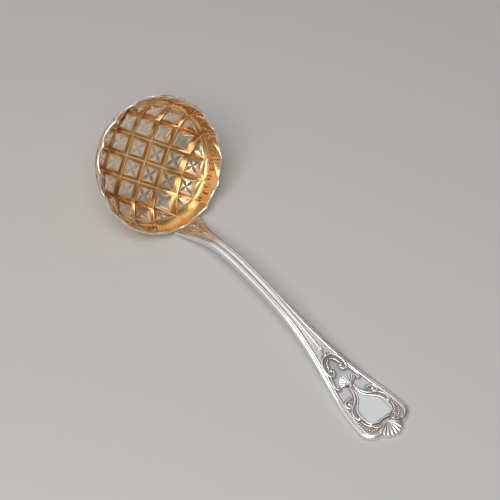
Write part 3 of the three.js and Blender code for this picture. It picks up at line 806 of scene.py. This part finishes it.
def silver_finish(name, face, reach, polished, dull):
    """Silver with brown tarnish where the mesh or its recesses hold it."""
    material, tree, shader, wear_and_shade = metal(name)
    wear_and_shade.inputs["Reach"].default_value = reach
    held = tree.nodes.new("ShaderNodeAttribute")
    held.attribute_name = "tarnish"
    patchy = math_node(tree, "MULTIPLY_ADD", wear_and_shade.outputs["Smudges"], patch_spread_share,
                       patch_least_share)
    struck = math_node(tree, "MULTIPLY", held.outputs["Fac"], patchy)
    shaded = math_node(tree, "MULTIPLY", wear_and_shade.outputs["Recess"], recess_tarnish_share)
    worn = math_node(tree, "MINIMUM", math_node(tree, "MAXIMUM", shaded, struck), tarnish_most_share)
    sunk = tree.nodes.new("ShaderNodeAttribute")
    sunk.attribute_name = "ground"
    grey = mix_colour(tree, sunk.outputs["Fac"], face, silver_ground)
    grey = mix_colour(tree, worn, grey, silver_tarnish)
    place = tree.nodes.new("ShaderNodeTexCoord")
    split = tree.nodes.new("ShaderNodeSeparateXYZ")
    tree.links.new(place.outputs["Object"], split.inputs["Vector"])
    surface = tree.nodes.new("ShaderNodeNewGeometry")
    upright = tree.nodes.new("ShaderNodeSeparateXYZ")
    tree.links.new(surface.outputs["Normal"], upright.inputs["Vector"])
    near_bowl = ranged(tree, split.outputs["X"], gold_end, gold_start)
    on_top = ranged(tree, upright.outputs["Z"], gold_slope_start, gold_slope_full)
    gilded = math_node(tree, "MULTIPLY", near_bowl, on_top)
    gilded = math_node(tree, "MULTIPLY", gilded, gold_most_share)
    tree.links.new(mix_colour(tree, gilded, grey, heel_gold), shader.inputs["Base Color"])
    roughen(tree, shader, wear_and_shade, polished, dull, dent_scale=260, dent_depth=0.00003)
    return material


silver = silver_finish("silver", silver_face, reach=0.0009, polished=0.24, dull=0.5)
finish_silver(handle, silver, 32)
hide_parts("handle")


# Scrolls on the handle's end. An arch of two C scrolls, arms that run out from the small shell,
# side volutes and feet: round ridges that stand up from the same struck metal.
knob_places = [(37.0, 2.6, 0.75), (20.3, 6.6, 0.8), (12.3, 7.8, 0.66), (7.0, 6.0, 0.66),
               (44.2, 0, 0.8), (29.4, 5.1, 0.5), (26.9, 0, 0.7)]
bar_lift, knob_lift, bead_lift = 0.00012, 0.0001, 0.00008
knob_width, knob_height = 1.08, 0.8
knob_segments, knob_rings = 14, 9
bar_end_share = 0.5
bar_taper_shares = (0.08, 0.98)


def joined(name, pieces):
    """Joins pieces into one named object, always in the order in which they are given."""
    mesh = bmesh.new()
    for piece in pieces:
        mesh.from_mesh(piece.data)
        bpy.data.meshes.remove(piece.data)
    whole = bpy.data.objects.new(name, bpy.data.meshes.new(name))
    mesh.to_mesh(whole.data)
    mesh.free()
    scene.collection.objects.link(whole)
    return whole


def knob(place, radius):
    """A small round boss, a little flatter than a ball. Blender's own ball has its triangles in
    another order on each run."""
    points = [Vector((0, 0, knob_height))]
    for i in range(1, knob_rings):
        fall = math.pi * i / knob_rings
        out, up = knob_width * math.sin(fall), knob_height * math.cos(fall)
        turns = [math.pi / 2 + 2 * math.pi * j / knob_segments for j in range(knob_segments)]
        points += [Vector((out * math.cos(turn), out * math.sin(turn), up)) for turn in turns]
    points.append(Vector((0, 0, -knob_height)))
    lowest = 1 + (knob_rings - 2) * knob_segments
    faces = []
    for j in range(knob_segments):
        k = (j + 1) % knob_segments
        faces += [(0, 1 + j, 1 + k), (len(points) - 1, lowest + k, lowest + j)]
        for ring in range(1, lowest, knob_segments):
            below = ring + knob_segments
            faces.append((ring + j, below + j, below + k, ring + k))
    mesh = bpy.data.meshes.new("knob")
    mesh.from_pydata([place + point * radius for point in points], [], faces)
    return bpy.data.objects.new("knob", mesh)


def ground_place(back, out, lift):
    """A place over the sunk ground, by its distance from the handle's end."""
    return on_handle(handle_length - back, out, lift - field_depth)


scroll_parts = []
for side in (-1, 1):
    for name, places in scroll_places.items():
        count = len(places) - 1
        full = line_radius[name] / 1000
        first, last = (math.pi * share for share in bar_taper_shares)
        swell_shares = [math.sin(first + (last - first) * k / count) for k in range(count + 1)]
        radii = [full * (bar_end_share + (1 - bar_end_share) * swell_share)
                 for swell_share in swell_shares]
        bar = [ground_place(back, side * out, bar_lift) for back, out in places]
        scroll_parts.append(curve_bar("scroll", bar, radii))
    for back, out, radius in knob_places:
        if out > 0:
            place = ground_place(back / 1000, side * out / 1000, knob_lift)
            scroll_parts.append(knob(place, radius / 1000))
for back, out, radius in knob_places:
    if out == 0:
        scroll_parts.append(knob(ground_place(back / 1000, 0, knob_lift), radius / 1000))
scrolls = joined("end_scrolls", scroll_parts)
finish_silver(scrolls, silver, 50)


# Border of the end. Between the threads and the scrolls the die leaves a row of small beads on
# matted ground, where tarnish stays.
bead_line = smooth_line([(18.0, 8.9), (15.5, 9.4), (12.0, 9.5), (9.0, 9.3), (6.4, 8.8), (4.6, 7.8),
                         (3.8, 6.4), (3.5, 5.0)])
bead_radius = 0.00036
bead_pitch = 0.00098
bead_parts = []
for side in (-1, 1):
    gone = 0.0
    last = bead_line[0]
    for back, out in bead_line:
        gone += math.hypot(back - last[0], out - last[1])
        last = (back, out)
        if gone >= bead_pitch or (back, out) == tuple(bead_line[0]):
            bead_parts.append(knob(ground_place(back, side * out, bead_lift), bead_radius))
            gone = 0.0
beads = joined("border_beads", bead_parts)
finish_silver(beads, silver, 50)


# Shells. A large scallop stands over the handle's end and a small one over the cartouche: fans
# of round flutes with tarnish in the furrows between them.
def relief(name, grid, bed_grid, dark_grid):
    """A closed piece with a shaped top over a bed that lies inside the handle."""
    mesh = bmesh.new()
    dark_layer = mesh.verts.layers.float.new("tarnish")
    tops = [[mesh.verts.new(place) for place in row] for row in grid]
    beds = [[mesh.verts.new(place) for place in row] for row in bed_grid]
    for row, darks in zip(tops, dark_grid):
        for vertex, dark in zip(row, darks):
            vertex[dark_layer] = dark
    rows, columns = len(tops), len(tops[0])
    for i in range(rows - 1):
        for j in range(columns - 1):
            mesh.faces.new((tops[i][j], tops[i + 1][j], tops[i + 1][j + 1], tops[i][j + 1]))
            mesh.faces.new((beds[i][j], beds[i][j + 1], beds[i + 1][j + 1], beds[i + 1][j]))
    border = [(i, 0) for i in range(rows)] + [(rows - 1, j) for j in range(1, columns)]
    border += [(i, columns - 1) for i in range(rows - 2, -1, -1)]
    border += [(0, j) for j in range(columns - 2, 0, -1)]
    for (i, j), (m, n) in zip(border, border[1:] + border[:1]):
        mesh.faces.new((tops[i][j], beds[i][j], beds[m][n], tops[m][n]))
    bmesh.ops.remove_doubles(mesh, verts=mesh.verts[:], dist=merge_distance)
    bmesh.ops.recalc_face_normals(mesh, faces=mesh.faces[:])
    piece = bpy.data.objects.new(name, bpy.data.meshes.new(name))
    mesh.to_mesh(piece.data)
    mesh.free()
    scene.collection.objects.link(piece)
    return piece


hinge_share = 0.06
notch_share = 0.05
flute_power = 0.7
fan_fall_share = 0.60
furrow_height_share = 0.66
furrow_dark_share = 0.4
hinge_dark_share = 0.25
end_shell_radius = 0.0069
small_shell_radius = 0.0060


def scallop_shell(name, hinge, radius, height, spread, roundness_share, flutes, bed):
    """A fan of round flutes with a notched edge, shorter at its sides by a share of its radius.
    A negative radius opens it towards the bowl."""
    grid, bed_grid, dark_grid = [], [], []
    across_steps = flutes * 8
    for i in range(13):
        share = hinge_share + (1 - hinge_share) * i / 12
        opened_share = min(share * 2, 1)
        row, bed_row, dark_row = [], [], []
        for j in range(across_steps + 1):
            crown = abs(math.sin(math.pi * j / 8)) ** flute_power
            angle = spread * (2 * j / across_steps - 1)
            reach = radius * share * (1 - notch_share * share * (1 - crown))
            reach *= 1 - roundness_share * (angle / spread) ** 2
            along, across = hinge + reach * math.cos(angle), reach * math.sin(angle)
            above = height * (1 - fan_fall_share * share ** 3)
            above *= furrow_height_share + (1 - furrow_height_share) * crown * opened_share
            row.append(on_handle(along, across, above - field_depth))
            bed_row.append(on_handle(along, across, -bed))
            dark = (1 - crown) * furrow_dark_share * opened_share + hinge_dark_share * (1 - share)
            dark_row.append(dark)
        grid.append(row)
        bed_grid.append(bed_row)
        dark_grid.append(dark_row)
    return relief(name, grid, bed_grid, dark_grid)


end_shell = scallop_shell("end_shell", handle_length + 0.003 - end_shell_radius, end_shell_radius,
                          height=0.0014, spread=math.pi * 0.42, roundness_share=0.06, flutes=9,
                          bed=0.00192)
finish_silver(end_shell, silver, 40)
small_shell = scallop_shell("small_shell", handle_length - 0.0268, -small_shell_radius,
                            height=0.0010, spread=math.pi * 0.38, roundness_share=0.28, flutes=9,
                            bed=0.0012)
finish_silver(small_shell, silver, 40)


# Cartouche. A plate with a bell-shaped outline in a raised frame, left vacant for a crest and
# finished satin, with its point towards the bowl.
satin_face = (0.82, 0.83, 0.84, 1)
plate_rise = 0.00028
plate_bed = 0.0012
frame_radius = 0.00046
frame_drop = 0.0003
worn_share = 0.78
edge_dark_share = 0.7
lip_wave_share, lip_bulge_share = 0.035, 0.03
plate_shares = [j / 8 - 1 for j in range(17)]
grid = [[on_handle(place.x, place.y * share, plate_rise - field_depth) for share in plate_shares]
        for place in plate_edge]
bed_grid = [[on_handle(place.x, place.y * share, -plate_bed) for share in plate_shares]
            for place in plate_edge]
edge_dark = [max(abs(share) - worn_share, 0) / (1 - worn_share) * edge_dark_share
             for share in plate_shares]
plate = relief("cartouche_plate", grid, bed_grid, [edge_dark for place in plate_edge])
satin = silver_finish("satin_silver", satin_face, reach=0.0006, polished=0.55, dull=0.7)
finish_silver(plate, satin, 30)

lip = []
for share in [1 - k / 10 for k in range(1, 20)]:
    wave = lip_wave_share * math.sin(math.pi * abs(share)) ** 2
    lip.append(plate_place(1 + wave + lip_bulge_share * (1 - abs(share)), foot_share * share))
frame_line = [(place.x, place.y) for place in plate_edge + lip]
frame_line += [(place.x, -place.y) for place in plate_edge[::-1]]
frame_bar = [on_handle(along, across, plate_rise - frame_drop) for along, across in frame_line]
frame_piece = curve_bar("cartouche_frame", frame_bar, [frame_radius] * len(frame_bar), closed=True)
finish_silver(frame_piece, silver, 50)


# Tongue and bud on the stem. A tapering ridge runs along the middle of the stem between its
# grooves and ends in a small pointed bud over the arch.
tongue_lift, bud_lift = -0.00018, 0.00024
tongue_least, tongue_growth = 0.00025, 0.00060
tongue_line = [on_handle(handle_length - back / 1000, 0, tongue_lift) for back in range(100, 46, -2)]
count = len(tongue_line)
tongue_radii = [tongue_least + tongue_growth * (k / (count - 1)) ** 1.5 for k in range(count)]
bud_line = [on_handle(handle_length - back / 1000, 0, bud_lift)
            for back in (49.5, 49.0, 48.3, 47.6, 47.0, 46.4, 45.9, 45.5)]
bud_radii = [0.00036, 0.00074, 0.00100, 0.00108, 0.00096, 0.00070, 0.00040, 0.00014]
tongue_parts = [curve_bar("tongue", tongue_line, tongue_radii), curve_bar("bud", bud_line, bud_radii)]
tongue = joined("stem_tongue", tongue_parts)
finish_silver(tongue, silver, 50)


# Palmette on the heel. Two ridges gather from the rim into the stem, with a small C scroll and
# leaf lobes in the sunk ground between them.
heel_radius = {"ridge": 0.00042, "scroll": 0.00036, "lobe": 0.00040, "leaf": 0.00032}
heel_lift = 0.00008
heel_end_share = 0.55
heel_parts = []
for side in (-1, 1):
    for name, corners in heel_corners.items():
        places = smooth_line(corners)
        count = len(places) - 1
        swell_shares = [math.sin(math.pi * k / count) for k in range(count + 1)]
        radii = [heel_radius[name] * (heel_end_share + (1 - heel_end_share) * swell_share)
                 for swell_share in swell_shares]
        bar = [on_handle(along, side * across, heel_lift) for along, across in places]
        heel_parts.append(curve_bar("heel_line", bar, radii))
palmette = joined("heel_palmette", heel_parts)
finish_silver(palmette, silver, 50)


# Solder seam. A bead of hard silver solder along the heel's edge under the bowl, left as it
# froze: a little yellower and duller than the silver on both sides.
solder_colour = (0.78, 0.74, 0.62, 1)
solder_shade = (0.34, 0.27, 0.18, 1)

seam = smooth_copy("solder_seam", "hard_solder_seam")
bpy.ops.object.mode_set(mode="OBJECT")
bpy.ops.object.shade_smooth_by_angle(angle=math.radians(50))
solder, tree, shader, wear_and_shade = metal("solder")
wear_and_shade.inputs["Reach"].default_value = 0.001
seam_colour = mix_colour(tree, wear_and_shade.outputs["Recess"], solder_colour, solder_shade)
tree.links.new(seam_colour, shader.inputs["Base Color"])
roughen(tree, shader, wear_and_shade, polished=0.36, dull=0.6, dent_scale=900, dent_depth=0.00008)
seam.data.materials.append(solder)
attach(seam, "root")
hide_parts("solder_seam")
